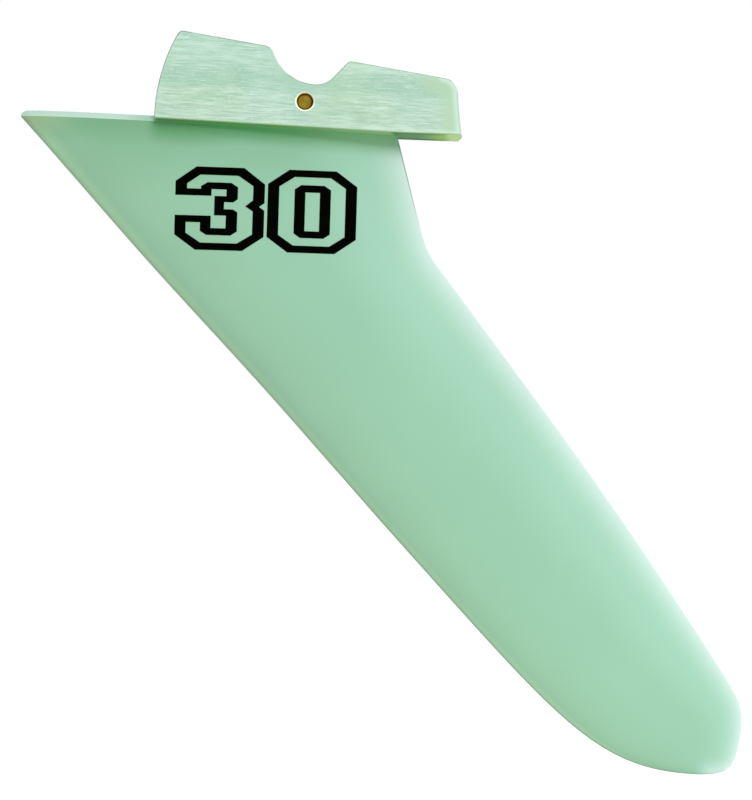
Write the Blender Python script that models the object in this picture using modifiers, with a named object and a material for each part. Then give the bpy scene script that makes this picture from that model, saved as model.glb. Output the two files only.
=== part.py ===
"""Windsurf fin: a swept glass-epoxy blade with a bolted head, and its brass barrel nut.

The blade and the head are one milled piece. Metres, +Z up into the board, +X aft, Y across.
The origin is on the hull seat, the flat top of the blade ahead of the head, on the mid-plane.
"""

import math

import bmesh
import bpy
from mathutils import Vector
from mathutils.geometry import interpolate_bezier

# Blade outline from the side
FIN_DEPTH = 0.3000
LEAD_TOP_X = -0.0358
LEAD_SWEEP = 44.9
LEAD_UPPER_X = 0.0306
LEAD_UPPER_DEPTH = 0.0710
LEAD_MIDDLE_X = 0.0863
LEAD_MIDDLE_DEPTH = 0.1260
LEAD_LOWER_X = 0.1587
LEAD_LOWER_RISE = 0.1000
LEAD_LOWER_EASE = 0.1117
TIP_LOW_REACH = 0.1437
TIP_LOW_EASE_FORE = 0.0468
TIP_LOW_EASE_AFT = 0.0046
TIP_CORNER_REACH = 0.0157
TIP_CORNER_RISE = 0.0038
TIP_CORNER_HEADING = 135.0
TIP_CORNER_EASE_FORE = 0.0045
TIP_CORNER_EASE_AFT = 0.0057
TIP_AFT_REACH = 0.0208
TIP_AFT_RISE = 0.0238
TIP_AFT_EASE_LOW = 0.0042
TIP_AFT_EASE_HIGH = 0.0112
TRAIL_RUNOUT_SETBACK = 0.0172
TRAIL_RUNOUT_RISE = 0.0351
TRAIL_RUNOUT_SWEEP = 35.6
TRAIL_RUNOUT_EASE_LOW = 0.0284
TRAIL_RUNOUT_EASE_HIGH = 0.0775
TRAIL_TOP_X = 0.1444
TRAIL_TOP_SWEEP = 16.9
TRAIL_BEND_DEPTH = 0.0495
TRAIL_BEND_AFT = 0.0126
TRAIL_BEND_DROP = 0.0201
TRAIL_BEND_EASE_HIGH = 0.0103
TRAIL_BEND_EASE_LOW = 0.0078
TRAIL_SWEEP = 39.5
TRAIL_EASE = 0.0954

# Blade section
ROOT_THICKNESS = 0.0120
TIP_THICKNESS = 0.0014
TIP_END_GAP = 0.0023
TRAIL_THICKNESS = 0.0011
THICKNESS_HOLD = 3.0
FOIL_TERMS = (0.2969, -0.1260, -0.3516, 0.2843, -0.1036)
FOIL_PEAK = 0.1
BEVEL_HEIGHT = 0.0029
BEVEL_RUN = 0.0018
NOSE_ROUND = 0.0022

# Head outline from the side
HEAD_FRONT_X = 0.0293
HEAD_LENGTH = 0.1460
HEAD_HEIGHT = 0.0401
HEAD_TOP_SLOPE = 7.3
HEAD_FRONT_RADIUS = 0.0860
HEAD_FRONT_ROUND = 0.0028
HEAD_AFT_LEAN = 11.5
HEAD_AFT_RADIUS = 0.1800
HEAD_AFT_ROUND = 0.0062
FOOT_FRONT_DROP = 0.0017
FOOT_TRAIL_DROP = 0.0027
FOOT_AFT_DROP = 0.0023

# Head across
HEAD_THICKNESS = 0.0180
HEAD_AFT_BULGE = 0.0015
HEAD_AFT_BLEND = 0.0160
HEAD_EDGE_BREAK = 0.0004
EDGE_BREAK_ANGLE = 40.0

# Notch in the top of the head
NOTCH_X = 0.1043
NOTCH_FLOOR = 0.0178
NOTCH_FRONT_RADIUS = 0.0220
NOTCH_AFT_RADIUS = 0.0112
NOTCH_RAMP = 48.7
NOTCH_FRONT_SHOULDER = 0.0045
NOTCH_AFT_SHOULDER = 0.0025

# Barrel nut, its cross bore and the bolt hole
BOLT_X = 0.1000
NUT_HEIGHT = 0.0096
NUT_DIAMETER = 0.0074
NUT_CLEARANCE = 0.0003
NUT_RECESS = 0.0006
NUT_CHAMFER = 0.0006
NUT_THREAD_CORE = 0.0050
BORE_COUNTERSINK = 0.0007
BOLT_HOLE_DIAMETER = 0.0066
BOLT_HOLE_RUNOUT = 0.0030
DRILL_POINT = 118.0

# Fineness of the mesh
CHORD_STEPS = 22
SPAN_STEPS = 62
SPAN_CROWDING = 1.15
CURVE_STEPS = 80
BEVEL_STEPS = 3
ROUND_STEPS = 6
NOTCH_STEPS = 14
EDGE_STEPS = 10
EDGE_RUN_STEPS = 3
EDGE_SPACING = 0.0005
HEAD_LAYERS = (-1.0, -0.85, -0.65, -0.35, 0.0, 0.35, 0.65, 0.85, 1.0)
BORE_STEPS = 48
SMOOTH_ANGLE = 30.0
MERGE_DISTANCE = 0.00001

# How far a cutter reaches past what it cuts
CUT_MARGIN = 0.0020


def clear_scene():
    """Remove whatever the scene held before."""
    for item in list(bpy.data.objects):
        bpy.data.objects.remove(item, do_unlink=True)


def new_collection(name):
    """Make a collection under the scene."""
    collection = bpy.data.collections.new(name)
    bpy.context.scene.collection.children.link(collection)
    return collection


def new_material(name, colour, roughness, metallic):
    """Make a Principled material."""
    material = bpy.data.materials.new(name)
    material.use_nodes = True
    shader = material.node_tree.nodes["Principled BSDF"]
    shader.inputs["Base Color"].default_value = (*colour, 1.0)
    shader.inputs["Roughness"].default_value = roughness
    shader.inputs["Metallic"].default_value = metallic
    material.diffuse_color = (*colour, 1.0)
    return material


def new_object(name, build, collection):
    """Turn a bmesh into an object, smooth where its faces meet at a shallow angle."""
    mesh = bpy.data.meshes.new(name)
    build.to_mesh(mesh)
    build.free()
    mesh.shade_smooth()
    mesh.set_sharp_from_angle(angle=math.radians(SMOOTH_ANGLE))
    item = bpy.data.objects.new(name, mesh)
    collection.objects.link(item)
    return item


def make_cutter(item):
    """Mark an object as a tool for other objects, not a piece of the fin."""
    item.hide_render = True
    item.display_type = "WIRE"
    return item


def add_boolean(item, tool, operation):
    """Cut or join an object with a tool."""
    modifier = item.modifiers.new(operation.lower() + "_" + tool.name, "BOOLEAN")
    modifier.operation = operation
    modifier.solver = "EXACT"
    modifier.object = tool


def loft(rings):
    """Skin closed rings of equal count one after another, and close both ends."""
    build = bmesh.new()
    rows = [[build.verts.new(point) for point in ring] for ring in rings]
    count = len(rows[0])
    for row, following in zip(rows, rows[1:]):
        for i in range(count):
            j = (i + 1) % count
            build.faces.new((row[i], row[j], following[j], following[i]))
    build.faces.new(rows[0])
    build.faces.new(rows[-1])
    bmesh.ops.recalc_face_normals(build, faces=build.faces)
    return build


def turned(name, profile, collection):
    """Spin a profile of (radius, height) points about Z, from the top of the axis down to its foot."""
    build = bmesh.new()
    points = [build.verts.new((radius, 0.0, height)) for radius, height in profile]
    for start, end in zip(points, points[1:]):
        build.edges.new((start, end))
    item = new_object(name, build, collection)
    screw = item.modifiers.new("turn", "SCREW")
    screw.steps = BORE_STEPS
    screw.render_steps = BORE_STEPS
    screw.use_merge_vertices = True
    screw.merge_threshold = MERGE_DISTANCE
    screw.use_smooth_shade = False
    return item


def heading(degrees):
    """Direction in the side view, turned from straight down towards aft."""
    angle = math.radians(degrees)
    return Vector((math.sin(angle), 0.0, -math.cos(angle)))


def arc(centre, radius, start, end, steps):
    """Points on an arc in the side view, angles in degrees from aft towards up."""
    points = []
    for i in range(steps + 1):
        angle = math.radians(start + (end - start) * i / steps)
        points.append(centre + radius * Vector((math.cos(angle), 0.0, math.sin(angle))))
    return points


def knot(place, degrees, ease_in, ease_out):
    """A place on an outline, with its heading and how far it eases in and out."""
    along = heading(degrees)
    return place - along * ease_in, place, place + along * ease_out


def trace(knots):
    """A fine path through the knots."""
    path = []
    for (_, start, leave), (arrive, end, _) in zip(knots, knots[1:]):
        stretch = interpolate_bezier(start, leave, arrive, end, CURVE_STEPS)
        path.extend(stretch if not path else stretch[1:])
    return path


def path_lengths(path):
    """How far along a path each of its points is."""
    lengths = [0.0]
    for start, end in zip(path, path[1:]):
        lengths.append(lengths[-1] + (end - start).length)
    return lengths


def resample(path, fractions):
    """Points at the given fractions of a path's length."""
    lengths = path_lengths(path)
    points = []
    index = 0
    for fraction in fractions:
        target = fraction * lengths[-1]
        while lengths[index + 1] < target:
            index += 1
        share = (target - lengths[index]) / (lengths[index + 1] - lengths[index])
        points.append(path[index].lerp(path[index + 1], share))
    return points


def blade_edges():
    """Paths of the leading and trailing edges, from under the bevel to the corner of the tip."""
    lead_top = Vector((LEAD_TOP_X, 0.0, -BEVEL_HEIGHT))
    upper = Vector((LEAD_UPPER_X, 0.0, -LEAD_UPPER_DEPTH))
    middle = Vector((LEAD_MIDDLE_X, 0.0, -LEAD_MIDDLE_DEPTH))
    lower = Vector((LEAD_LOWER_X, 0.0, LEAD_LOWER_RISE - FIN_DEPTH))
    upper_ease = (upper - lead_top).length / 3.0
    middle_ease = (middle - upper).length / 3.0
    lower_ease = (lower - middle).length / 3.0
    low = Vector((lower.x + TIP_LOW_REACH, 0.0, -FIN_DEPTH))
    corner = low + Vector((TIP_CORNER_REACH, 0.0, TIP_CORNER_RISE))
    aft = low + Vector((TIP_AFT_REACH, 0.0, TIP_AFT_RISE))
    runout = aft + Vector((-TRAIL_RUNOUT_SETBACK, 0.0, TRAIL_RUNOUT_RISE))
    trail_top = Vector((TRAIL_TOP_X, 0.0, -BEVEL_HEIGHT))
    trail_drop = TRAIL_BEND_DEPTH - BEVEL_HEIGHT
    bend = trail_top + heading(TRAIL_TOP_SWEEP) * trail_drop / math.cos(math.radians(TRAIL_TOP_SWEEP))
    bend_end = bend + Vector((TRAIL_BEND_AFT, 0.0, -TRAIL_BEND_DROP))

    lead = trace([
        knot(lead_top, LEAD_SWEEP, 0.0, upper_ease),
        knot(upper, LEAD_SWEEP, upper_ease, middle_ease),
        knot(middle, LEAD_SWEEP, middle_ease, lower_ease),
        knot(lower, LEAD_SWEEP, lower_ease, LEAD_LOWER_EASE),
        knot(low, 90.0, TIP_LOW_EASE_FORE, TIP_LOW_EASE_AFT),
        knot(corner, TIP_CORNER_HEADING, TIP_CORNER_EASE_FORE, 0.0),
    ])
    trail = trace([
        knot(trail_top, TRAIL_TOP_SWEEP, 0.0, 0.0),
        knot(bend, TRAIL_TOP_SWEEP, 0.0, TRAIL_BEND_EASE_HIGH),
        knot(bend_end, TRAIL_SWEEP, TRAIL_BEND_EASE_LOW, TRAIL_EASE),
        knot(runout, TRAIL_RUNOUT_SWEEP, TRAIL_RUNOUT_EASE_HIGH, TRAIL_RUNOUT_EASE_LOW),
        knot(aft, 0.0, TIP_AFT_EASE_HIGH, TIP_AFT_EASE_LOW),
        knot(corner, TIP_CORNER_HEADING - 180.0, TIP_CORNER_EASE_AFT, 0.0),
    ])
    return lead, trail


def foil_fullness(chord):
    """Share of the full thickness at a fraction of the chord: round in front, thin behind."""
    powers = (math.sqrt(chord), chord, chord ** 2, chord ** 3, chord ** 4)
    return sum(term * power for term, power in zip(FOIL_TERMS, powers)) / FOIL_PEAK


def blade_ring(lead, trail, thickness):
    """One section: up the near side from the trailing edge, round the front and back."""
    near = []
    far = []
    for step in range(1, CHORD_STEPS + 1):
        chord = 1.0 - math.cos(math.pi / 2.0 * step / CHORD_STEPS)
        fullness = foil_fullness(chord)
        edge = TRAIL_THICKNESS / 2.0 * chord * (1.0 - fullness)
        half = thickness / 2.0 * fullness + edge
        place = lead.lerp(trail, chord)
        near.append(place + Vector((0.0, -half, 0.0)))
        far.append(place + Vector((0.0, half, 0.0)))
    return near[::-1] + [lead] + far


def make_blade(collection):
    """Loft the blade down to the tip, with a bevel round its flat top and a rounded nose."""
    lead_path, trail_path = blade_edges()
    span_end = 1.0 - TIP_END_GAP / path_lengths(lead_path)[-1]
    fractions = [span_end * math.sin(math.pi / 2.0 * i / SPAN_STEPS) ** SPAN_CROWDING
                 for i in range(SPAN_STEPS + 1)]
    lead = resample(lead_path, fractions)
    trail = resample(trail_path, fractions)
    rings = []
    for step in range(BEVEL_STEPS):
        share = 1.0 - step / BEVEL_STEPS
        height = BEVEL_HEIGHT * (share - 1.0)
        nose = NOSE_ROUND * (1.0 - math.sqrt(1.0 - share ** 2))
        front = Vector((lead[0].x + nose, 0.0, height))
        back = Vector((trail[0].x - BEVEL_RUN * share, 0.0, height))
        rings.append(blade_ring(front, back, ROOT_THICKNESS - 2.0 * BEVEL_RUN * share))
    for fraction, front, back in zip(fractions, lead, trail):
        fade = 1.0 - fraction ** THICKNESS_HOLD
        thickness = TIP_THICKNESS + (ROOT_THICKNESS - TIP_THICKNESS) * fade
        rings.append(blade_ring(front, back, thickness))
    return make_cutter(new_object("blade_form", loft(rings), collection))


def line_meet(point, along, other, other_along):
    """Where two lines in the side view cross."""
    gap = other - point
    cross = along.x * other_along.z - along.z * other_along.x
    share = (gap.x * other_along.z - gap.z * other_along.x) / cross
    return point + along * share


def round_corner(before, corner, after, radius, steps):
    """Replace a corner between two straight runs with an arc that touches both."""
    back = (before - corner).normalized()
    onward = (after - corner).normalized()
    half_angle = back.angle(onward) / 2.0
    centre = corner + (back + onward).normalized() * radius / math.sin(half_angle)
    start = corner + back * radius / math.tan(half_angle)
    end = corner + onward * radius / math.tan(half_angle)
    points = []
    for i in range(steps + 1):
        spoke = (start - centre).slerp(end - centre, i / steps)
        points.append(centre + spoke.normalized() * radius)
    return points


def head_top_line():
    """A point on the head's sloping top, above its front edge, and the direction aft along it."""
    lean = HEAD_FRONT_RADIUS - math.sqrt(HEAD_FRONT_RADIUS ** 2 - HEAD_HEIGHT ** 2)
    slope = math.radians(HEAD_TOP_SLOPE)
    along = Vector((math.cos(slope), 0.0, -math.sin(slope)))
    return Vector((HEAD_FRONT_X + lean, 0.0, HEAD_HEIGHT)), along


def head_front_edge():
    """The front edge from its foot up to the corner: upright below, leaning aft above."""
    top, _ = head_top_line()
    centre = Vector((HEAD_FRONT_X + HEAD_FRONT_RADIUS, 0.0, 0.0))
    rise = math.degrees(math.asin(HEAD_HEIGHT / HEAD_FRONT_RADIUS))
    drop = math.degrees(math.asin(FOOT_FRONT_DROP / HEAD_FRONT_RADIUS))
    edge = arc(centre, HEAD_FRONT_RADIUS, 180.0 + drop, 180.0 - rise, EDGE_STEPS)
    edge[-1] = top
    return edge


def head_aft_edge():
    """The aft edge from the top corner down to its foot, flaring towards the foot."""
    foot = Vector((HEAD_FRONT_X + HEAD_LENGTH, 0.0, -FOOT_AFT_DROP))
    centre = foot + HEAD_AFT_RADIUS * Vector((
        math.cos(math.radians(HEAD_AFT_LEAN)), 0.0, math.sin(math.radians(HEAD_AFT_LEAN))))
    top, along = head_top_line()
    reach = (centre - top).dot(along)
    across = (centre - top - along * reach).length
    corner = top + along * (reach - math.sqrt(HEAD_AFT_RADIUS ** 2 - across ** 2))
    spoke = corner - centre
    start = math.degrees(math.atan2(spoke.z, spoke.x)) % 360.0
    return arc(centre, HEAD_AFT_RADIUS, start, 180.0 + HEAD_AFT_LEAN, EDGE_STEPS)


def head_outline():
    """The head's outline on the mid-plane, and the x where its rounded aft end starts."""
    front = head_front_edge()
    aft = head_aft_edge()
    top, along = head_top_line()
    aft_blend = HEAD_FRONT_X + HEAD_LENGTH - HEAD_AFT_BLEND
    top_aft = top + along * (aft_blend - top.x) / along.x
    front_run = front[-1 - EDGE_RUN_STEPS]
    aft_run = aft[EDGE_RUN_STEPS]
    front_round = round_corner(front_run, top, top_aft, HEAD_FRONT_ROUND, ROUND_STEPS)
    aft_round = round_corner(top_aft, aft[0], aft_run, HEAD_AFT_ROUND, ROUND_STEPS)
    front_kept = [place for place in front if place.z < front_round[0].z - EDGE_SPACING]
    aft_kept = [place for place in aft if place.z < aft_round[-1].z - EDGE_SPACING]
    foot_trail = Vector((TRAIL_TOP_X, 0.0, -FOOT_TRAIL_DROP))
    outline = front_kept + front_round + [top_aft] + aft_round + aft_kept + [foot_trail]
    return outline, aft_blend


def make_head(collection):
    """Build the head in layers across, each with its aft end drawn in by the end's curve."""
    outline, aft_blend = head_outline()
    half = HEAD_THICKNESS / 2.0
    end_radius = (half ** 2 + HEAD_AFT_BULGE ** 2) / (2.0 * HEAD_AFT_BULGE)
    rings = []
    for share in HEAD_LAYERS:
        across = share * half
        draw_in = end_radius - math.sqrt(end_radius ** 2 - across ** 2)
        ring = []
        for place in outline:
            share_aft = min(1.0, max(0.0, place.x - aft_blend) / HEAD_AFT_BLEND)
            ring.append(Vector((place.x - draw_in * share_aft, across, place.z)))
        rings.append(ring)
    return new_object("fin_body", loft(rings), collection)


def notch_outline():
    """The notch from its front shoulder round its floor to its aft shoulder."""
    top, along = head_top_line()
    inward = Vector((along.z, 0.0, -along.x))

    front_centre = Vector((NOTCH_X, 0.0, NOTCH_FLOOR + NOTCH_FRONT_RADIUS))
    run = top + inward * NOTCH_FRONT_SHOULDER
    reach = (front_centre - run).dot(along)
    across = (front_centre - run - along * reach).length
    span = NOTCH_FRONT_RADIUS + NOTCH_FRONT_SHOULDER
    shoulder = run + along * (reach - math.sqrt(span ** 2 - across ** 2))
    spoke = front_centre - shoulder
    touch = math.degrees(math.atan2(spoke.z, spoke.x))
    front_shoulder = arc(shoulder, NOTCH_FRONT_SHOULDER, 90.0 - HEAD_TOP_SLOPE, touch, ROUND_STEPS)
    front_wall = arc(front_centre, NOTCH_FRONT_RADIUS, touch - 180.0, -90.0, NOTCH_STEPS)

    aft_centre = Vector((NOTCH_X, 0.0, NOTCH_FLOOR + NOTCH_AFT_RADIUS))
    floor_curve = arc(aft_centre, NOTCH_AFT_RADIUS, -90.0, NOTCH_RAMP - 90.0, ROUND_STEPS)
    ramp = heading(90.0 + NOTCH_RAMP)
    corner = line_meet(floor_curve[-1], ramp, top, along)
    aft_shoulder = round_corner(floor_curve[-1], corner, corner + along, NOTCH_AFT_SHOULDER, ROUND_STEPS)
    return front_shoulder + front_wall[1:] + floor_curve[1:] + aft_shoulder


def make_notch_cutter(collection):
    """A prism through the head that leaves the notch with rounded shoulders."""
    outline = notch_outline()
    lead_in = outline[0] + (outline[0] - outline[1]).normalized() * CUT_MARGIN
    lead_out = outline[-1] + (outline[-1] - outline[-2]).normalized() * CUT_MARGIN
    above = HEAD_HEIGHT + CUT_MARGIN
    outline = [Vector((lead_in.x, 0.0, above)), lead_in, *outline, lead_out, Vector((lead_out.x, 0.0, above))]

    data = bpy.data.curves.new("notch_cutter", "CURVE")
    data.dimensions = "2D"
    data.fill_mode = "BOTH"
    data.extrude = HEAD_THICKNESS / 2.0 + CUT_MARGIN
    spline = data.splines.new("POLY")
    spline.points.add(len(outline) - 1)
    for point, place in zip(spline.points, outline):
        point.co = (place.x, place.z, 0.0, 1.0)
    spline.use_cyclic_u = True
    sketch = bpy.data.objects.new("notch_sketch", data)
    sketch.rotation_euler = (math.radians(90.0), 0.0, 0.0)
    collection.objects.link(sketch)
    bpy.context.view_layer.update()

    evaluated = sketch.evaluated_get(bpy.context.evaluated_depsgraph_get())
    mesh = bpy.data.meshes.new_from_object(evaluated)
    build = bmesh.new()
    build.from_mesh(mesh)
    bmesh.ops.remove_doubles(build, verts=build.verts, dist=MERGE_DISTANCE)
    bmesh.ops.recalc_face_normals(build, faces=build.faces)
    build.to_mesh(mesh)
    build.free()
    cutter = bpy.data.objects.new("notch_cutter", mesh)
    cutter.matrix_world = sketch.matrix_world
    collection.objects.link(cutter)
    bpy.data.objects.remove(sketch, do_unlink=True)
    return make_cutter(cutter)


def make_bore_cutter(collection):
    """The cross bore for the barrel nut, with a countersink at each face."""
    radius = NUT_DIAMETER / 2.0 + NUT_CLEARANCE
    face = HEAD_THICKNESS / 2.0
    mouth = radius + BORE_COUNTERSINK + CUT_MARGIN
    profile = [
        (0.0, face + CUT_MARGIN),
        (mouth, face + CUT_MARGIN),
        (radius, face - BORE_COUNTERSINK),
        (radius, -face + BORE_COUNTERSINK),
        (mouth, -face - CUT_MARGIN),
        (0.0, -face - CUT_MARGIN),
    ]
    cutter = turned("bore_cutter", profile, collection)
    cutter.location = (BOLT_X, 0.0, NUT_HEIGHT)
    cutter.rotation_euler = (math.radians(90.0), 0.0, 0.0)
    return make_cutter(cutter)


def make_bolt_hole_cutter(collection):
    """The bolt hole, drilled down from the notch to just below the nut."""
    radius = BOLT_HOLE_DIAMETER / 2.0
    above = HEAD_HEIGHT + CUT_MARGIN
    below = NUT_HEIGHT - NUT_DIAMETER / 2.0 - BOLT_HOLE_RUNOUT
    point = radius / math.tan(math.radians(DRILL_POINT / 2.0))
    profile = [(0.0, above), (radius, above), (radius, below), (0.0, below - point)]
    cutter = turned("bolt_hole_cutter", profile, collection)
    cutter.location = (BOLT_X, 0.0, 0.0)
    return make_cutter(cutter)


def make_fin_body(collection, cutters, material):
    """The milled piece: head with its notch, joined to the blade, then drilled."""
    body = make_head(collection)
    body.data.materials.append(material)
    add_boolean(body, make_notch_cutter(cutters), "DIFFERENCE")
    edges = body.modifiers.new("edge_break", "BEVEL")
    edges.width = HEAD_EDGE_BREAK
    edges.segments = 1
    edges.limit_method = "ANGLE"
    edges.angle_limit = math.radians(EDGE_BREAK_ANGLE)
    add_boolean(body, make_blade(cutters), "UNION")
    add_boolean(body, make_bolt_hole_cutter(cutters), "DIFFERENCE")
    add_boolean(body, make_bore_cutter(cutters), "DIFFERENCE")
    return body


def make_barrel_nut(collection, cutters, material):
    """The turned nut, chamfered at both ends, with its threaded hole as a plain core bore."""
    radius = NUT_DIAMETER / 2.0
    end = HEAD_THICKNESS / 2.0 - NUT_RECESS
    profile = [
        (0.0, end),
        (radius - NUT_CHAMFER, end),
        (radius, end - NUT_CHAMFER),
        (radius, -end + NUT_CHAMFER),
        (radius - NUT_CHAMFER, -end),
        (0.0, -end),
    ]
    nut = turned("barrel_nut", profile, collection)
    nut.location = (BOLT_X, 0.0, NUT_HEIGHT)
    nut.rotation_euler = (math.radians(90.0), 0.0, 0.0)
    nut.data.materials.append(material)

    core = NUT_THREAD_CORE / 2.0
    reach = radius + CUT_MARGIN
    cutter = turned("thread_core_cutter", [(0.0, reach), (core, reach), (core, -reach), (0.0, -reach)], cutters)
    cutter.location = nut.location
    add_boolean(nut, make_cutter(cutter), "DIFFERENCE")
    return nut


def main():
    """Build the fin."""
    clear_scene()
    parts = new_collection("windsurf_fin")
    cutters = new_collection("cutters")
    laminate = new_material("glass_epoxy", (0.38, 0.69, 0.50), 0.35, 0.0)
    brass = new_material("turned_brass", (0.46, 0.33, 0.09), 0.30, 1.0)
    make_fin_body(parts, cutters, laminate)
    make_barrel_nut(parts, cutters, brass)


main()
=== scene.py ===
"""Windsurf fin: its laminate's finish, its printed number and its brass nut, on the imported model."""

import math

import bpy
import numpy as np
from bpy.props import FloatProperty, FloatVectorProperty, PointerProperty, StringProperty
from mathutils import Matrix, Vector


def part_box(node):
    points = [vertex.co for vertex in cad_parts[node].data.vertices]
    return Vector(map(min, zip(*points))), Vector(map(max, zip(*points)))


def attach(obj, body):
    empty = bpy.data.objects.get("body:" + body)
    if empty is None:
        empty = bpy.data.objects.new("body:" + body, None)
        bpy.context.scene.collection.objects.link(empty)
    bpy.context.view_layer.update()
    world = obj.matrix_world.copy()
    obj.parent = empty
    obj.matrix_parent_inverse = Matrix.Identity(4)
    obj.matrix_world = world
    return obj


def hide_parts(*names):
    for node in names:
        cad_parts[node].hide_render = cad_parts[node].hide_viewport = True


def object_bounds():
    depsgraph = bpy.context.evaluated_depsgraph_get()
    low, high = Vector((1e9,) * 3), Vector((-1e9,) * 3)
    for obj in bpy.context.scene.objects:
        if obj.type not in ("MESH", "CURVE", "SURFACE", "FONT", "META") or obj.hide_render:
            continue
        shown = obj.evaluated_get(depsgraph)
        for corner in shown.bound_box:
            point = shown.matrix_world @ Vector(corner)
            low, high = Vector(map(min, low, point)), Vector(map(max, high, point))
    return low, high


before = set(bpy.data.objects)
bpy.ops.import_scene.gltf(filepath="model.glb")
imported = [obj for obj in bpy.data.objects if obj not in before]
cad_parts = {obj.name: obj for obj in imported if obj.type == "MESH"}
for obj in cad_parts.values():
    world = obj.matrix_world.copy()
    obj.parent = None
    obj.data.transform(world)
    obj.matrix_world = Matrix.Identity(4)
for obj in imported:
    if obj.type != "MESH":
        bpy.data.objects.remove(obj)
cad_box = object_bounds()
nut_low, nut_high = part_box("barrel_nut")
fin_low, fin_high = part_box("fin_body")

bl_info = {
    "name": "Windsurf fin",
    "version": (1, 0, 0),
    "blender": (4, 5, 0),
    "location": "3D View > Sidebar > Windsurf fin",
    "description": "Dresses the windsurf fin: milled laminate, printed number and turned brass nut",
    "category": "Object",
}

BODY = "root"
MM_PER_METRE = 1000.0
MERGE_DISTANCE = 0.000002
SMOOTH_ANGLE = math.radians(28.0)

# The head's sides, ends, foot and notch, and the nut's bore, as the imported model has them
HEAD_FACE = fin_high.y
BLADE_HALF = 0.0062
HEAD_FRONT_X = 0.0293
HEAD_AFT_X = 0.1738
HEAD_AFT_LEAN = 0.13
HEAD_CORNER = (0.0395, 0.0395)
HEAD_TOP_START = 0.0456
HEAD_TOP_FALL = 0.130
AFT_CORNER = 0.0062
SMOOTH_CORNER = 0.0100
TRAIL_TOP_X = 0.1446
FOOT_DROP = 0.0017
FOOT_SLOPE = 0.0087
SEAT_LINE = 0.00002
BEVEL_LINE = -0.0029
NOTCH_CENTRE = (0.1043, 0.0398)
NOTCH_RADIUS = 0.0220
BORE_X = (nut_low.x + nut_high.x) / 2.0
BORE_Z = (nut_low.z + nut_high.z) / 2.0
NUT_RADIUS = (nut_high.x - nut_low.x) / 2.0
BORE_RADIUS = NUT_RADIUS + 0.0003

# The blade's edges are found on level planes, from just under the bevel to just above the tip
EDGE_TOP = BEVEL_LINE - 0.0006
EDGE_CLEAR = 0.0002
EDGE_STEP = 0.001

# The pale band before the trailing edge: its share of the chord, its least width in millimetres, its fall
PALE_SHARE = 0.13
PALE_LEAST = 6.0
PALE_POWER = 2.2

# Width of the bore's cream rim and of the head's broken edges, and the slack when faces are sorted
RIM_WIDTH = 0.0010
RIM_DEPTH = 0.0008
EDGE_BREAK = 0.0007
SLACK = 0.0001

# Patches to the metre: drifts of resin of 45 and 38 mm, waves of the cloth of 22 mm, wander of the foot's
# painted light and shade of 11 mm, polish of 8 mm, patches of the edges' painted shade of 6 mm, mottled ink
# of 5.5 mm, stained brass of 2.4 mm, cut fibres of 1 mm
BLADE_DRIFTS = 22.0
HEAD_DRIFTS = 26.0
CLOTH_WAVES = 45.0
FOOT_WANDER = 90.0
POLISH_MARKS = 120.0
EDGE_SHADE_PATCHES = 160.0
INK_MOTTLE = 180.0
BRASS_STAINS = 420.0
BEVEL_FIBRES = 700.0
SAWN_FIBRES = 900.0

# The number's sheet before it is laid on the blade
SHEET_STEP = 0.003
SHEET_MERGE = 0.00001
SHEET_STAND_OFF = 0.02
SHEET_ANGLE = math.radians(30.0)


def linear(code):
    """Turn an sRGB hex colour into the linear values that a shader takes."""
    channels = [int(code[i:i + 2], 16) / 255.0 for i in (0, 2, 4)]
    return [c / 12.92 if c <= 0.04045 else ((c + 0.055) / 1.055) ** 2.4 for c in channels]


def hex_colour(name, description, code):
    """A colour setting, kept as an sRGB hex code."""
    return StringProperty(name=name, description=description, default=code)


class LaminateSettings(bpy.types.PropertyGroup):
    """Colours and scales of the milled glass-epoxy."""

    # Partly painted light: the leading edge's own yellower green, made lighter to offset the shade of its
    # round nose
    lead: hex_colour("Leading edge", "Green along the leading edge", "B5E1B6")
    fore: hex_colour("Fore part", "Green behind the leading edge", "9ACAA8")
    middle: hex_colour("Middle", "Green at the middle of the chord", "9BCDAF")
    aft: hex_colour("Aft part", "Paler green towards the trailing edge", "A6D7BC")
    trail: hex_colour("Trailing edge", "Near white where the laminate is thin", "D8F2EA")
    # Painted shade: a dark line along the trailing edge near the head and, faintly, along the nose
    edge_line_shade: hex_colour("Cut line", "Grey-green line of the trailing edge itself", "6A8C7C")
    # Painted shade under the head and over the blade's upper part
    shade: hex_colour("Under the head", "Deep green in the corner under the head", "569862")
    glow: hex_colour("Corner glow", "Bright green where light has come through resin", "70CE82")
    corner: hex_colour("Front corner", "Yellower resin at the front of the seat", "B1CB9B")
    glow_aft: hex_colour("Aft corner glow", "Paler green under the tail of the head", "9EDCA4")
    bevel: hex_colour("Bevel", "Whitened fibres on the milled bevel", "BACFC9")
    layer: FloatProperty(name="Layer", description="Thickness of one layer of glass cloth", default=0.00035,
                         min=0.0001, max=0.002, unit="LENGTH", precision=5)
    trail_band: FloatProperty(name="Pale band", description="Width over which the trailing edge pales",
                              default=0.022, min=0.001, max=0.08, unit="LENGTH")
    shade_band: FloatProperty(name="Shaded band", description="Depth below the head of the deeper green",
                              default=0.0155, min=0.001, max=0.05, unit="LENGTH")


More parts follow.
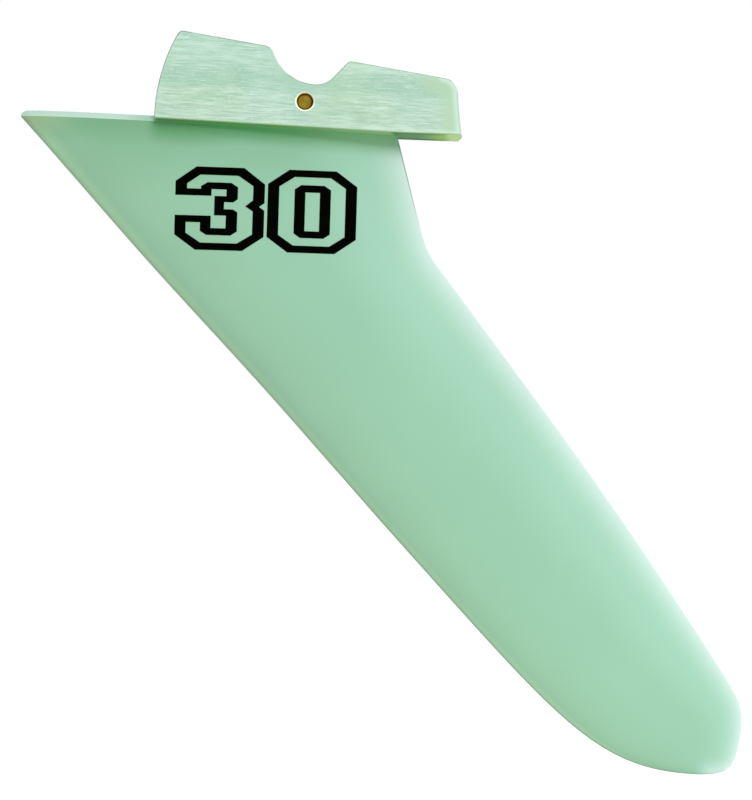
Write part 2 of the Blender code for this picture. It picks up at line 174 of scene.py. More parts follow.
class HeadSettings(bpy.types.PropertyGroup):
    """Colours and scratch sizes of the sanded head."""

    face: hex_colour("Face", "Sanded side of the head", "BADDCA")
    light: hex_colour("Light scratch", "Bright side of a sanding scratch", "D6F0E2")
    dark: hex_colour("Dark scratch", "Dark side of a sanding scratch", "99C4AE")
    dash: hex_colour("Nick", "Near white nicks between the scratches", "E4F4EA")
    band: hex_colour("Band", "Deeper band half-way up the head", "A4CDB4")
    low: hex_colour("Low part", "Creamier part just above the foot", "B9D6BE")
    warm: hex_colour("Warm patch", "Yellower resin near the foot and the aft end", "B9DBB4")
    cool: hex_colour("Cool patch", "Bluer resin by the notch and the edges", "B6DFCA")
    rim: hex_colour("Aft rim", "Pale, near white rim of the aft end", "D2EED9")
    cut: hex_colour("Cut edge", "Sawn top and ends", "AFD4B8")
    # Painted light: the bore's and the countersink's colours are light for the shade they lie in, and both
    # glow
    bore: hex_colour("Bore", "Brass-stained wall of the nut's bore", "B8924A")
    bore_dark: hex_colour("Dark bore", "Deeper stain between the layers", "6E5410")
    bore_glow: FloatProperty(name="Bore glow", description="Light that comes through the bore's wall",
                             default=0.7)
    sink: hex_colour("Countersink", "Cream cut round the nut's bore", "FDFFE6")
    sink_dark: hex_colour("Dark countersink", "Its layer lines", "F4FAE0")
    sink_glow: FloatProperty(name="Countersink glow", description="Light that comes through its cut",
                             default=0.16)
    # Painted shade: a grey line along the broken top and front edges, darkest at the front corner
    broken_edge_shade: hex_colour("Rubbed edge", "Grey line of the broken top and front edges", "5C7066")
    front_corner_shade: hex_colour("Rubbed corner", "Darker grey of the front corner", "4A5A52")
    # Painted highlight: the broken foot edge faces down into shade but is bright cream
    foot_edge_highlight: hex_colour("Foot edge", "Cream line of the broken foot edge", "DCFDC5")
    # Painted light and shade on the underside, down to the foot end
    foot: hex_colour("Foot", "Green underside of the head", "6EA86E")
    foot_fore_lit: hex_colour("Fore foot", "Paler underside beside the blade", "8AC77A")
    foot_mid: hex_colour("Middle foot", "Creamier underside further aft by the blade", "B0DCA4")
    foot_rim_shade: hex_colour("Foot rim", "Dark rim along both edges of the underside", "59945C")
    far_foot_rim_shade: hex_colour("Far foot rim", "Darkest line, on the underside's far edge", "3F6644")
    foot_aft_glow: hex_colour("Aft foot", "Yellow-green underside near the aft end", "A5DA75")
    foot_end_glow: hex_colour("Foot end", "Pale yellow corner of the underside", "DBFFB6")
    scratch_width: FloatProperty(name="Scratch width", description="Width of one sanding scratch",
                                 default=0.00044, min=0.0001, max=0.01, unit="LENGTH", precision=5)
    scratch_length: FloatProperty(name="Scratch length", description="Length of one sanding scratch",
                                  default=0.010, min=0.001, max=0.2, unit="LENGTH")
    scratch_turn: FloatProperty(name="Scratch turn", description="Direction of sanding from the hull line",
                                default=math.radians(-0.6), subtype="ANGLE")


class NumberSettings(bpy.types.PropertyGroup):
    """Size, place and ink of the fin's depth number, in centimetres."""

    ink: hex_colour("Ink", "Screen-printed ink", "040502")
    mottle: hex_colour("Mottle", "Thinner ink between the mesh's threads", "0A0A05")
    foot: FloatVectorProperty(name="Foot", description="Lower left corner of the first digit, aft and up",
                              size=2, default=(0.04137, -0.06286), subtype="XYZ", unit="LENGTH",
                              precision=5)
    turn: FloatProperty(name="Turn", description="Lift of the number's line from the hull line",
                        default=math.radians(1.3), subtype="ANGLE")
    height: FloatProperty(name="Height", description="Height of a digit", default=0.0394, unit="LENGTH")
    width: FloatProperty(name="Width", description="Width of a digit", default=0.0423, unit="LENGTH")
    gap: FloatProperty(name="Gap", description="Space between the digits", default=0.0014, unit="LENGTH")
    film: FloatProperty(name="Film", description="Thickness of the ink", default=0.00006,
                        unit="LENGTH", precision=6)


class NutSettings(bpy.types.PropertyGroup):
    """Colours and turning marks of the barrel nut."""

    brass: hex_colour("Brass", "Dull turned brass", "7D6B24")
    stain: hex_colour("Stain", "Browner stain of salt water", "6E5818")
    # Painted shade and glint round the rim of the nut's end
    rim_glint_low: hex_colour("Low rim", "Rim of the end, lower and fore", "8C6A1C")
    rim_shade_high: hex_colour("High rim", "Rim of the end, upper and aft", "5A4410")
    rim_gain: FloatProperty(name="Rim gain", description="How much wider the rim's upper aft side is",
                            default=0.0006, unit="LENGTH", precision=5)
    groove: FloatProperty(name="Groove", description="Spacing of the turning marks", default=0.0003,
                          unit="LENGTH", precision=5)


class StageSettings(bpy.types.PropertyGroup):
    """Camera, lamp, sky and floor."""

    eye: FloatVectorProperty(name="Eye", description="Place of the camera", size=3,
                             default=(0.1408, -0.650, -0.1293), subtype="XYZ", unit="LENGTH")
    lens: FloatProperty(name="Lens", description="Focal length in millimetres", default=61.20)
    sensor: FloatProperty(name="Sensor", description="Width of the sensor in millimetres", default=36.0)
    roll: FloatProperty(name="Roll", description="Turn of the camera about its view",
                        default=math.radians(-3.0), subtype="ANGLE")
    floor_drop: FloatProperty(name="Floor drop", description="Clear height between tip and floor",
                              default=0.30, unit="LENGTH")
    floor_size: FloatProperty(name="Floor size", description="Side of the floor", default=16.0,
                              unit="LENGTH")
    floor_grey: FloatProperty(name="Floor grey", description="Share of its light that the floor gives back",
                              default=0.65, min=0.0, max=1.0)
    floor_glow: FloatProperty(name="Floor glow", description="Light added where the floor is seen directly",
                              default=0.60, min=0.0)
    sky: FloatProperty(name="Sky", description="Even light from all round", default=0.42, min=0.0, max=2.0)
    key: FloatProperty(name="Key", description="Strength of the soft light from above", default=2.3)
    key_spread: FloatProperty(name="Key spread", description="Angle that the soft light fills",
                              default=math.radians(34.0), subtype="ANGLE")
    key_from: FloatVectorProperty(name="Key from", description="Direction that the soft light comes from",
                                  size=3, default=(0.22, -0.66, 0.72), subtype="XYZ")


def set_inputs(tree, node, inputs):
    """Set a node's inputs, or link them to the sockets given; a hex code becomes a linear colour."""
    for name, value in inputs.items():
        socket = node.inputs[name]
        if isinstance(value, bpy.types.NodeSocket):
            tree.links.new(value, socket)
        elif isinstance(value, str):
            socket.default_value = (*linear(value), 1.0)
        else:
            socket.default_value = value


def add_node(tree, kind, inputs=None, **settings):
    """Add one node with its settings, and set or link its inputs."""
    node = tree.nodes.new(kind)
    for name, value in settings.items():
        setattr(node, name, value)
    set_inputs(tree, node, inputs or {})
    return node


def zone_level(tree, *zones):
    """Level at a place, from the product of its zones.

    A zone is a socket, or a value with the start and end of its fade and, where they aren't
    nought and one, the levels at the two.
    """
    level = None
    for zone in zones:
        if isinstance(zone, tuple):
            value, start, end, low, high = (*zone, 0.0, 1.0)[:5]
            zone = add_node(tree, "ShaderNodeMapRange", {0: value, 1: start, 2: end, 3: low, 4: high},
                            interpolation_type="SMOOTHSTEP").outputs[0]
        if level is None:
            level = zone
        else:
            level = add_node(tree, "ShaderNodeMath", {0: level, 1: zone}, operation="MULTIPLY").outputs[0]
    return level


def paint(tree, under, over, *zones):
    """Lay one colour over another as far as the zones' level goes."""
    level = zone_level(tree, *zones)
    return add_node(tree, "ShaderNodeMix", {0: level, 6: under, 7: over}, data_type="RGBA").outputs[2]


def new_finish(name):
    """Start a material: its node tree, its bare Principled shader and the place in the piece's own axes."""
    finish = bpy.data.materials.new(name)
    finish.use_nodes = True
    tree = finish.node_tree
    place = add_node(tree, "ShaderNodeTexCoord").outputs["Object"]
    return finish, tree, tree.nodes["Principled BSDF"], place


def deselect():
    """Leave edit mode and deselect everything."""
    if bpy.context.mode != "OBJECT":
        bpy.ops.object.mode_set(mode="OBJECT")
    bpy.ops.object.select_all(action="DESELECT")


def pick(item):
    """Make one object the only selected and active one."""
    deselect()
    item.select_set(True)
    bpy.context.view_layer.objects.active = item


def merged_copy(node, name):
    """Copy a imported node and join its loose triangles."""
    item = node.copy()
    item.data = node.data.copy()
    item.name = name
    item.data.name = name
    item.parent = None
    for key in list(item.keys()):
        del item[key]
    bpy.context.scene.collection.objects.link(item)
    item.data.materials.clear()
    pick(item)
    bpy.ops.object.mode_set(mode="EDIT")
    bpy.ops.mesh.select_all(action="SELECT")
    bpy.ops.mesh.remove_doubles(threshold=MERGE_DISTANCE)
    bpy.ops.mesh.customdata_custom_splitnormals_clear()
    bpy.ops.object.mode_set(mode="OBJECT")
    return item


def edge_lines(mesh):
    """Leading and trailing edge of the blade as (aft, up) points, from its crossings with level planes."""
    points = np.array([tuple(vertex.co) for vertex in mesh.vertices])
    ends = np.array([tuple(edge.vertices) for edge in mesh.edges])
    start = points[ends[:, 0]]
    end = points[ends[:, 1]]
    lead = []
    trail = []
    for level in np.arange(EDGE_TOP, fin_low.z + EDGE_CLEAR, -EDGE_STEP):
        crossing = (start[:, 2] - level) * (end[:, 2] - level) < 0.0
        low = start[crossing]
        high = end[crossing]
        share = (level - low[:, 2]) / (high[:, 2] - low[:, 2])
        across = low[:, 0] + share * (high[:, 0] - low[:, 0])
        lead.append((across.min(), level))
        trail.append((across.max(), level))
    return np.array(lead), np.array(trail)


def distance_to_line(places, line):
    """Distance of each (aft, up) place from a line of many short runs."""
    nearest = np.full(len(places), np.inf)
    for first, second in zip(line, line[1:]):
        run = second - first
        share = np.clip(((places - first) @ run) / (run @ run), 0.0, 1.0)
        gap = places - (first + share[:, None] * run)
        nearest = np.minimum(nearest, np.hypot(gap[:, 0], gap[:, 1]))
    return nearest


def add_edge_distances(mesh):
    """Keep each point's distance from the two edges, in millimetres, for the laminate's colour."""
    lead, trail = edge_lines(mesh)
    places = np.array([(vertex.co.x, vertex.co.z) for vertex in mesh.vertices])
    for name, line in (("from_lead", lead), ("from_trail", trail)):
        attribute = mesh.attributes.new(name, "FLOAT", "POINT")
        distances = distance_to_line(places, line) * MM_PER_METRE
        attribute.data.foreach_set("value", distances.astype(np.float32))


def smooth_lead(mesh):
    """Keep the round leading edge smooth and the seat's bevel crisp."""
    lead, trail = edge_lines(mesh)
    for edge in mesh.edges:
        middle = (mesh.vertices[edge.vertices[0]].co + mesh.vertices[edge.vertices[1]].co) / 2.0
        if middle.z < BEVEL_LINE - 2.0 * SLACK and abs(middle.y) < BLADE_HALF:
            lead_x = np.interp(-middle.z, -lead[:, 1], lead[:, 0])
            trail_x = np.interp(-middle.z, -trail[:, 1], trail[:, 0])
            if middle.x < (lead_x + trail_x) / 2.0:
                edge.use_edge_sharp = False


def face_finish(polygon):
    """Name the finish of one face of the fin body from its place and direction."""
    centre = polygon.center
    normal = polygon.normal
    side = abs(centre.y)
    facing = abs(normal.y)
    reach = math.hypot(centre.x - BORE_X, centre.z - BORE_Z)
    if normal.z < -0.9 and EDGE_TOP < centre.z < 0.0:
        return "foot"
    behind_blade = centre.x > TRAIL_TOP_X and centre.z > BEVEL_LINE
    if centre.z <= SEAT_LINE and side <= BLADE_HALF and not behind_blade:
        return "bevel" if centre.z > BEVEL_LINE + SLACK else "blade"
    if reach < BORE_RADIUS + RIM_WIDTH and side > HEAD_FACE - RIM_DEPTH and 0.2 < facing < 0.95:
        return "rim"
    if reach < BORE_RADIUS + 2.0 * SLACK and side < HEAD_FACE - SLACK:
        return "bore"
    if facing > 0.99:
        return "side"
    if side > HEAD_FACE - EDGE_BREAK and 0.4 < facing < 0.95 and normal.x < 0.4:
        return "foot_edge_highlight" if normal.z < -0.3 else "broken_edge_shade"
    return "sawn"


def laminate_layers(tree, settings, place):
    """Faint lines where the layers of glass cloth come to the surface, from the depth across the fin."""
    split = add_node(tree, "ShaderNodeSeparateXYZ", {0: place})
    wander = add_node(tree, "ShaderNodeTexNoise", {"Vector": place, "Scale": CLOTH_WAVES, "Detail": 2.0})
    depth = add_node(tree, "ShaderNodeMath", {
        0: wander.outputs["Fac"], 1: settings.layer * 1.5, 2: split.outputs["Y"]}, operation="MULTIPLY_ADD")
    turns = add_node(tree, "ShaderNodeMath", {0: depth.outputs[0], 1: 2.0 * math.pi / settings.layer},
                     operation="MULTIPLY")
    wave = add_node(tree, "ShaderNodeMath", {0: turns.outputs[0]}, operation="SINE")
    return add_node(tree, "ShaderNodeMapRange", {0: wave.outputs[0], 1: -1.0, 2: 1.0}).outputs[0]


def from_line(tree, along, slope, start, across):
    """Distance, along one axis, of a place from a straight line over the other axis."""
    line = add_node(tree, "ShaderNodeMath", {0: along, 1: slope, 2: start}, operation="MULTIPLY_ADD")
    gap = add_node(tree, "ShaderNodeMath", {0: line.outputs[0], 1: across}, operation="SUBTRACT")
    return gap.outputs[0]


def line_depth(tree, place):
    """Depth below the line of the head's foot, in metres, and the aft coordinate."""
    split = add_node(tree, "ShaderNodeSeparateXYZ", {0: place})
    aft = split.outputs["X"]
    depth = from_line(tree, aft, -FOOT_SLOPE, FOOT_SLOPE * HEAD_FRONT_X - FOOT_DROP, split.outputs["Z"])
    return depth, aft


def from_aft_end(tree, place, corner):
    """Depth of a place inside the head's aft end, measured round an upper corner of the given radius."""
    split = add_node(tree, "ShaderNodeSeparateXYZ", {0: place})
    aft = from_line(tree, split.outputs["Z"], -HEAD_AFT_LEAN, HEAD_AFT_X, split.outputs["X"])
    top = from_line(tree, split.outputs["X"], -HEAD_TOP_FALL, HEAD_TOP_START, split.outputs["Z"])
    reach = []
    for depth in (aft, top):
        short = add_node(tree, "ShaderNodeMath", {0: corner, 1: depth}, operation="SUBTRACT")
        held = add_node(tree, "ShaderNodeMath", {0: short.outputs[0], 1: 0.0}, operation="MAXIMUM")
        reach.append(held.outputs[0])
    rise = zone_level(tree, reach[1], (aft, corner * 2.0, corner))
    pair = add_node(tree, "ShaderNodeCombineXYZ", {0: reach[0], 1: rise})
    inward = add_node(tree, "ShaderNodeVectorMath", {0: pair.outputs[0]}, operation="LENGTH")
    inside = add_node(tree, "ShaderNodeMath", {0: corner, 1: inward.outputs["Value"]}, operation="SUBTRACT")
    return inside.outputs[0]


def distance_from(tree, place, centre):
    """Distance in the side view from an (aft, up) point."""
    split = add_node(tree, "ShaderNodeSeparateXYZ", {0: place})
    aft = add_node(tree, "ShaderNodeMath", {0: split.outputs["X"], 1: centre[0]}, operation="SUBTRACT")
    up = add_node(tree, "ShaderNodeMath", {0: split.outputs["Z"], 1: centre[1]}, operation="SUBTRACT")
    flat = add_node(tree, "ShaderNodeCombineXYZ", {0: aft.outputs[0], 1: up.outputs[0]})
    length = add_node(tree, "ShaderNodeVectorMath", {0: flat.outputs[0]}, operation="LENGTH")
    return length.outputs["Value"]


def beside_head(tree, aft):
    """One beside the head, a little less by its front end, and nought ahead of it."""
    return zone_level(
        tree, (aft, HEAD_FRONT_X - 0.0015, HEAD_FRONT_X + 0.0015), (aft, 0.035, 0.065, 0.6, 1.0))


def blade_finish(settings):
    """Milled and polished glass-epoxy: green where it is thick, near white along the thin trailing edge."""
    finish, tree, shader, place = new_finish("milled_polished_glass_epoxy")
    lead = add_node(tree, "ShaderNodeAttribute", attribute_name="from_lead").outputs["Fac"]
    trail = add_node(tree, "ShaderNodeAttribute", attribute_name="from_trail").outputs["Fac"]
    chord = add_node(tree, "ShaderNodeMath", {0: lead, 1: trail}, operation="ADD").outputs[0]
    share = add_node(tree, "ShaderNodeMath", {0: lead, 1: chord}, operation="DIVIDE").outputs[0]
    # The leading edge's green is partly painted light that offsets the shade of its round nose
    green = settings.lead
    for start, end, code in (
            (0.0, 0.05, settings.fore), (0.05, 0.50, settings.middle), (0.50, 0.85, settings.aft)):
        green = paint(tree, green, code, (share, start, end))

    # The last millimetres before the trailing edge, where light comes through the laminate
    part = add_node(tree, "ShaderNodeMath", {0: chord, 1: PALE_SHARE, 2: PALE_LEAST},
                    operation="MULTIPLY_ADD")
    band = add_node(tree, "ShaderNodeMath", {
        0: part.outputs[0], 1: settings.trail_band * MM_PER_METRE}, operation="MINIMUM")
    near = add_node(tree, "ShaderNodeMath", {0: trail, 1: band.outputs[0]},
                    operation="DIVIDE", use_clamp=True)
    pale = add_node(tree, "ShaderNodeMath", {0: 1.0, 1: near.outputs[0]}, operation="SUBTRACT")
    curve = add_node(tree, "ShaderNodeMath", {0: pale.outputs[0], 1: PALE_POWER}, operation="POWER")
    green = paint(tree, green, settings.trail, curve.outputs[0])

    # Painted shade: light that reaches the corner under the head has come through resin, so it is shaded a
    # deeper green there, and a fainter, broader painted shade lies over the blade's upper part
    depth, aft = line_depth(tree, place)
    band = zone_level(tree, (aft, 0.040, 0.075, settings.shade_band, settings.shade_band * 0.75))
    reach = add_node(tree, "ShaderNodeMath", {0: depth, 1: band}, operation="DIVIDE").outputs[0]
    green = paint(tree, green, settings.shade, (reach, 1.0, 0.10),
                  (aft, HEAD_FRONT_X - 0.006, HEAD_FRONT_X + 0.004, 0.33, 1.0),
                  (aft, 0.070, 0.130, 1.0, 0.2))
    green = paint(tree, green, settings.shade, (depth, 0.045, 0.0, 0.0, 0.32),
                  (aft, 0.095, 0.130, 1.0, 0.35), (aft, -0.028, 0.012, 0.25, 1.0))

    # Yellower towards the front corner, ahead of the head and near the seat
    green = paint(tree, green, settings.corner, (aft, -0.004, -0.026, 0.0, 0.5), (depth, 0.012, 0.003))

    # The light that the head's own resin passes on brightens the first millimetres, deeper towards the tail
    band = add_node(tree, "ShaderNodeMapRange", {0: aft, 1: 0.035, 2: 0.130, 3: 0.003, 4: 0.012}).outputs[0]
    reach = add_node(tree, "ShaderNodeMath", {0: depth, 1: band}, operation="DIVIDE").outputs[0]
    glow = paint(tree, settings.glow, settings.glow_aft, (aft, 0.065, 0.130))
    green = paint(tree, green, glow, (reach, 1.0, 0.0), beside_head(tree, aft))

    # Painted shade: near the head the very edge of the trailing side gets a dark line of shade, and so,
    # more faintly, does the nose
    cut = add_node(tree, "ShaderNodeMapRange", {0: trail, 1: 0.7, 2: 0.2, 4: 0.85}).outputs[0]
    green = paint(tree, green, settings.edge_line_shade, cut, (depth, 0.050, 0.015))
    nose = add_node(tree, "ShaderNodeMapRange", {0: lead, 1: 1.1, 2: 0.6, 4: 0.25}).outputs[0]
    green = paint(tree, green, settings.edge_line_shade, nose)

    # The blade thins towards its tip and lets more light through
    thin = add_node(tree, "ShaderNodeMapRange", {0: depth, 1: 0.060, 2: 0.290, 3: 0.965, 4: 1.07})
    cloud = add_node(tree, "ShaderNodeTexNoise", {"Vector": place, "Scale": BLADE_DRIFTS, "Detail": 3.0})
    drift = add_node(tree, "ShaderNodeMapRange", {
        0: cloud.outputs["Fac"], 1: 0.3, 2: 0.7, 3: 0.98, 4: 1.015})
    level = zone_level(tree, thin.outputs[0], drift.outputs[0])
    toned = add_node(tree, "ShaderNodeVectorMath", {0: green, "Scale": level}, operation="SCALE")

    # A hand polish, a little uneven
    polish = add_node(tree, "ShaderNodeTexNoise", {"Vector": place, "Scale": POLISH_MARKS, "Detail": 4.0})
    rough = add_node(tree, "ShaderNodeMapRange", {0: polish.outputs["Fac"], 3: 0.38, 4: 0.50})
    set_inputs(tree, shader, {
        "Base Color": toned.outputs[0], "Roughness": rough.outputs[0], "IOR": 1.50,
        "Specular IOR Level": 0.25})
    return finish


def bevel_finish(settings):
    """The milled bevel round the hull seat: whitened fibre ends in thin lines along the cut."""
    finish, tree, shader, place = new_finish("milled_bevel_glass_epoxy")
    layers = laminate_layers(tree, settings, place)
    lines = add_node(tree, "ShaderNodeMapRange", {0: layers, 1: 0.2, 2: 0.8, 4: 0.35}).outputs[0]
    depth, aft = line_depth(tree, place)
    glow = paint(tree, settings.glow, settings.glow_aft, (aft, 0.0, 0.130))
    colour = paint(tree, settings.bevel, settings.fore, lines)
    colour = paint(tree, colour, settings.lead, (depth, 0.0, 0.0012, 0.0, 0.4))
    # Painted shade: the bevel darkens as it nears the head's front
    colour = paint(tree, colour, settings.shade,
                   (aft, HEAD_FRONT_X - 0.020, HEAD_FRONT_X - 0.001, 0.0, 0.36))
    # Painted light: beside the head the bevel takes the corner glow, so it does not show grey in the head's
    # shade
    colour = paint(tree, colour, glow, beside_head(tree, aft))
    fuzz = add_node(tree, "ShaderNodeTexNoise", {"Vector": place, "Scale": BEVEL_FIBRES, "Detail": 3.0})
    rough = add_node(tree, "ShaderNodeMapRange", {0: fuzz.outputs["Fac"], 3: 0.45, 4: 0.65})
    set_inputs(tree, shader, {
        "Base Color": colour, "Roughness": rough.outputs[0], "Specular IOR Level": 0.3})
    return finish


def scratches(tree, settings, place, width, length, seed):
    """Long thin noise along the head, as sanding by hand leaves it.

    Coarse paper's scratches are finer than can show, so they are drawn about 0.4 mm wide.
    """
    turned = add_node(tree, "ShaderNodeMapping", {
        "Vector": place,
        "Location": (seed, 0.0, seed * 1.7),
        "Rotation": (0.0, settings.scratch_turn, 0.0),
        "Scale": (1.0 / length, 20.0, 1.0 / width)})
    return add_node(tree, "ShaderNodeTexNoise", {
        "Vector": turned.outputs[0], "Scale": 1.0, "Detail": 3.0, "Roughness": 0.6}).outputs["Fac"]


def sanded_finish(settings):
    """Glass-epoxy sanded lengthwise with coarse paper: pale, streaked and dull."""
    finish, tree, shader, place = new_finish("sanded_glass_epoxy")
    split = add_node(tree, "ShaderNodeSeparateXYZ", {0: place})
    along = split.outputs["X"]
    up = split.outputs["Z"]
    width = settings.scratch_width
    length = settings.scratch_length
    fine = scratches(tree, settings, place, width, length, 3.1)
    dash = scratches(tree, settings, place, width * 1.2, length * 0.2, 6.6)
    broad = scratches(tree, settings, place, width * 3.0, length * 1.2, 8.4)
    patch = add_node(tree, "ShaderNodeTexNoise", {
        "Vector": place, "Scale": CLOTH_WAVES, "Detail": 2.0}).outputs["Fac"]
    hue = add_node(tree, "ShaderNodeTexNoise", {
        "Vector": place, "Scale": HEAD_DRIFTS, "Detail": 1.0}).outputs["Fac"]

    # The aft end and the notch's walls were finished smooth, so the scratches fade out there
    aft = from_aft_end(tree, place, SMOOTH_CORNER)
    notch = distance_from(tree, place, NOTCH_CENTRE)
    walls = add_node(tree, "ShaderNodeMath", {
        0: zone_level(tree, (notch, NOTCH_RADIUS, NOTCH_RADIUS + 0.006, 0.35, 1.0)),
        1: zone_level(tree, (along, 0.108, 0.116, 0.35, 1.0))}, operation="MAXIMUM").outputs[0]
    sanded = zone_level(tree, (aft, 0.005, 0.012, 0.10, 1.0), walls)
    depth = zone_level(tree, (patch, 0.35, 0.65, 0.55, 1.0), sanded)

    # Drifts of warmer and bluer resin, creamier near the foot
    colour = paint(tree, settings.face, settings.warm, (hue, 0.50, 0.66, 0.0, 0.6))
    colour = paint(tree, colour, settings.cool, (hue, 0.48, 0.34, 0.0, 0.8))
    colour = paint(tree, colour, settings.low, (up, 0.013, 0.003, 0.0, 0.5))

    # Aft of the notch the paper cut more along the top
    below_top = from_line(tree, along, -HEAD_TOP_FALL, HEAD_TOP_START, up)
    colour = paint(tree, colour, settings.light,
                   (below_top, 0.0080, 0.0045), (along, 0.105, 0.112, 0.0, 0.35))

    # Broad passes of the paper, and a deeper band half-way up, where it cut less
    colour = paint(tree, colour, settings.dark, (broad, 0.50, 0.66, 0.0, 0.70), sanded)
    colour = paint(tree, colour, settings.light, (broad, 0.50, 0.34, 0.0, 0.60), sanded)
    colour = paint(tree, colour, settings.band,
                   (up, 0.0115, 0.0170), (up, 0.0270, 0.0205), (patch, 0.30, 0.60, 0.5, 0.95))

    # Resin gathers yellow inside the aft end and shows pale at its very edge
    colour = paint(tree, colour, settings.warm, (aft, 0.0110, 0.0060, 0.0, 0.65))
    edge = from_aft_end(tree, place, AFT_CORNER)
    colour = paint(tree, colour, settings.rim, (edge, 0.0036, 0.0008, 0.0, 0.9))

    # Painted highlight: a creamy line just above the broken foot edge, plainest at the aft end
    below = line_depth(tree, place)[0]
    colour = paint(tree, colour, settings.rim,
                   (below, -0.0030, -0.0012, 0.0, 0.85), (along, 0.10, 0.15, 0.25, 1.0))

    # Each scratch's dark side and bright side, then the near white nicks between them
    for pattern, start, end, most, code in (
            (fine, 0.50, 0.34, 0.80, settings.dark),
            (fine, 0.50, 0.66, 0.80, settings.light),
            (dash, 0.58, 0.68, 0.85, settings.dash)):
        share = add_node(tree, "ShaderNodeMapRange", {0: pattern, 1: start, 2: end, 4: most}).outputs[0]
        colour = paint(tree, colour, code, share, depth)

    rough = add_node(tree, "ShaderNodeMapRange", {0: fine, 1: 0.3, 2: 0.7, 3: 0.66, 4: 0.52})
    relief = add_node(tree, "ShaderNodeBump", {"Height": fine, "Strength": 0.25, "Distance": 0.00008})
    set_inputs(tree, shader, {
        "Base Color": colour, "Roughness": rough.outputs[0], "Normal": relief.outputs[0],
        "Specular IOR Level": 0.3})
    return finish


def lit_through(finish, code, strength):
    """Painted light: let a small cut edge glow by emission with some of the light that the laminate
    carries.
    """
    tree = finish.node_tree
    set_inputs(tree, tree.nodes["Principled BSDF"], {"Emission Color": code, "Emission Strength": strength})
    return finish


def sawn_finish(laminate, name, light, dark):
    """The cut edge of the laminate, with its layers showing as thin lines along it."""
    finish, tree, shader, place = new_finish(name)
    layers = laminate_layers(tree, laminate, place)
    colour = paint(tree, dark, light, layers)
    fuzz = add_node(tree, "ShaderNodeTexNoise", {"Vector": place, "Scale": SAWN_FIBRES, "Detail": 3.0})
    rough = add_node(tree, "ShaderNodeMapRange", {0: fuzz.outputs["Fac"], 3: 0.45, 4: 0.65})
    relief = add_node(tree, "ShaderNodeBump", {"Height": layers, "Strength": 0.2, "Distance": 0.00006})
    set_inputs(tree, shader, {
        "Base Color": colour, "Roughness": rough.outputs[0], "Normal": relief.outputs[0],
        "Specular IOR Level": 0.3})
    return finish


def cut_end_finish(settings, laminate):
    """Sawn top, ends and notch of the head: layered green, paling to the aft rim."""
    finish = sawn_finish(laminate, "sawn_glass_epoxy", settings.cut, laminate.fore)
    tree = finish.node_tree
    shader = tree.nodes["Principled BSDF"]
    place = add_node(tree, "ShaderNodeTexCoord").outputs["Object"]
    layered = shader.inputs["Base Color"].links[0].from_socket
    edge = from_aft_end(tree, place, AFT_CORNER)
    colour = paint(tree, layered, settings.rim, (edge, 0.0050, 0.0, 0.0, 0.85))
    set_inputs(tree, shader, {"Base Color": colour})
    return finish


def broken_edge_shade_finish(settings):
    """The broken top and front edges: a grey line of painted shade, broken up in patches, paler aft and
    darkest at the front corner.
    """
    finish, tree, shader, place = new_finish("broken_edge_painted_shade")
    shade_patches = add_node(tree, "ShaderNodeTexNoise", {
        "Vector": place, "Scale": EDGE_SHADE_PATCHES, "Detail": 3.0}).outputs["Fac"]
    split = add_node(tree, "ShaderNodeSeparateXYZ", {0: place})
    corner = distance_from(tree, place, HEAD_CORNER)
    colour = paint(tree, settings.broken_edge_shade, settings.face, (shade_patches, 0.35, 0.65, 0.0, 0.45))
    colour = paint(tree, colour, settings.dark, (split.outputs["X"], 0.100, 0.135, 0.0, 0.65))
    colour = paint(tree, colour, settings.front_corner_shade, (corner, 0.0060, 0.0010, 0.0, 0.9))
    set_inputs(tree, shader, {"Base Color": colour, "Roughness": 0.6, "Specular IOR Level": 0.2})
    return finish


def foot_finish(settings):
    """Underside of the head: green with painted light and shade, deeper past the blade, yellower and
    brighter towards the aft end.
    """
    finish, tree, shader, place = new_finish("laminate_foot_painted_light_and_shade")
    split = add_node(tree, "ShaderNodeSeparateXYZ", {0: place})
    across = split.outputs["Y"]
    cloud = add_node(tree, "ShaderNodeTexNoise", {"Vector": place, "Scale": FOOT_WANDER, "Detail": 3.0})
    wander = add_node(tree, "ShaderNodeMath", {0: cloud.outputs["Fac"], 1: 0.006, 2: -0.003},
                      operation="MULTIPLY_ADD")
    along = add_node(tree, "ShaderNodeMath", {0: split.outputs["X"], 1: wander.outputs[0]},
                     operation="ADD").outputs[0]
    side = add_node(tree, "ShaderNodeMath", {0: across}, operation="ABSOLUTE").outputs[0]
    # Painted light and shade: paler beside the blade, offsetting its shade, and creamier further aft; a
    # deeper green past the trailing edge where shade falls; yellow-green to pale yellow at the aft end,
    # where light comes through the thin overhang; dark rims of shade along both edges, darkest on the far
    # one
    past_blade = (along, TRAIL_TOP_X - 0.004, TRAIL_TOP_X)
    colour = settings.foot_fore_lit
    for code, *zones in (
            (settings.foot_mid, (along, 0.085, 0.130)),
            (settings.foot, past_blade),
            (settings.foot_aft_glow, (along, 0.1540, 0.1655)),
            (settings.foot_end_glow, (along, 0.1660, 0.1705)),
            (settings.foot_rim_shade, (side, 0.0030, 0.0080), past_blade, (along, 0.1700, 0.1600, 0.0, 0.8)),
            (settings.far_foot_rim_shade, (across, 0.0045, 0.0075), (along, 0.1700, 0.1560, 0.0, 0.9))):
        colour = paint(tree, colour, code, *zones)
    set_inputs(tree, shader, {"Base Color": colour, "Roughness": 0.6, "Specular IOR Level": 0.05})
    return finish


